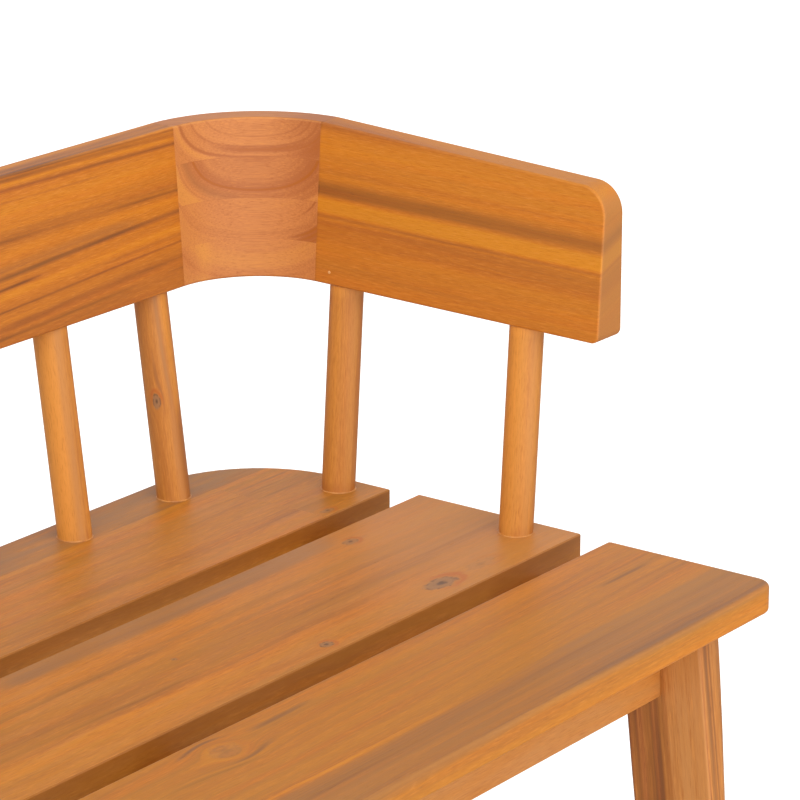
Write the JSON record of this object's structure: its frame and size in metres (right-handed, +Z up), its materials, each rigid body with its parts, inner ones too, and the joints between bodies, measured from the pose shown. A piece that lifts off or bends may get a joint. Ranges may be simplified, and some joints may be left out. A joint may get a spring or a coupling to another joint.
{
  "type": "garden bench",
  "caption": "Slatted wooden garden bench with a low wrap-round back rail on plain spindles, rounded laminated corners, short arms and splayed tapered legs.",
  "frame": {"origin": "centre of the bench's overall box, on the floor that it stands on", "axes": "+X along the bench to the right as seen from its front, +Y from front to back, +Z up"},
  "size_m": [1.2868, 0.4764, 0.7047],
  "materials": {
    "seat_wood": "oiled satin",
    "rail_wood": "oiled satin",
    "arm_wood": "oiled satin",
    "corner_wood": "oiled satin end grain",
    "spindle_wood": "oiled satin",
    "leg_wood": "oiled satin",
    "frame_wood": "oiled satin",
    "dowel_wood": "raw beech",
    "screw_steel": "zinc plated",
    "glide_plastic": "matte"
  },
  "bodies": {
    "root": {"back_spindle_01": "spindle_wood", "back_spindle_02": "spindle_wood", "back_spindle_03": "spindle_wood", "back_spindle_04": "spindle_wood", "back_spindle_05": "spindle_wood", "back_spindle_06": "spindle_wood", "back_spindle_07": "spindle_wood", "back_spindle_08": "spindle_wood", "back_spindle_09": "spindle_wood", "back_spindle_10": "spindle_wood", "back_spindle_11": "spindle_wood", "arm_spindle_right_front": "spindle_wood", "arm_spindle_right_rear": "spindle_wood", "arm_spindle_left_front": "spindle_wood", "arm_spindle_left_rear": "spindle_wood", "front_seat_slat": "seat_wood", "middle_seat_slat": "seat_wood", "rear_seat_board_inner": "seat_wood", "rear_seat_board_outer": "seat_wood", "rear_seat_dowels": "dowel_wood", "back_rail": "rail_wood", "corner_layer_right_1": "corner_wood", "corner_layer_left_1": "corner_wood", "corner_layer_right_2": "corner_wood", "corner_layer_left_2": "corner_wood", "corner_layer_right_3": "corner_wood", "corner_layer_left_3": "corner_wood", "corner_layer_right_4": "corner_wood", "corner_layer_left_4": "corner_wood", "arm_right": "arm_wood", "arm_left": "arm_wood", "rail_dowels": "dowel_wood", "leg_front_right": "leg_wood", "leg_front_left": "leg_wood", "leg_rear_right": "leg_wood", "leg_rear_left": "leg_wood", "foot_glides": "glide_plastic", "front_apron": "frame_wood", "rear_apron": "frame_wood", "side_rail_right": "frame_wood", "side_rail_left": "frame_wood", "seat_batten_1": "frame_wood", "seat_batten_2": "frame_wood", "seat_batten_3": "frame_wood", "seat_batten_4": "frame_wood", "slat_screws": "screw_steel"}
  },
  "joints": []
}
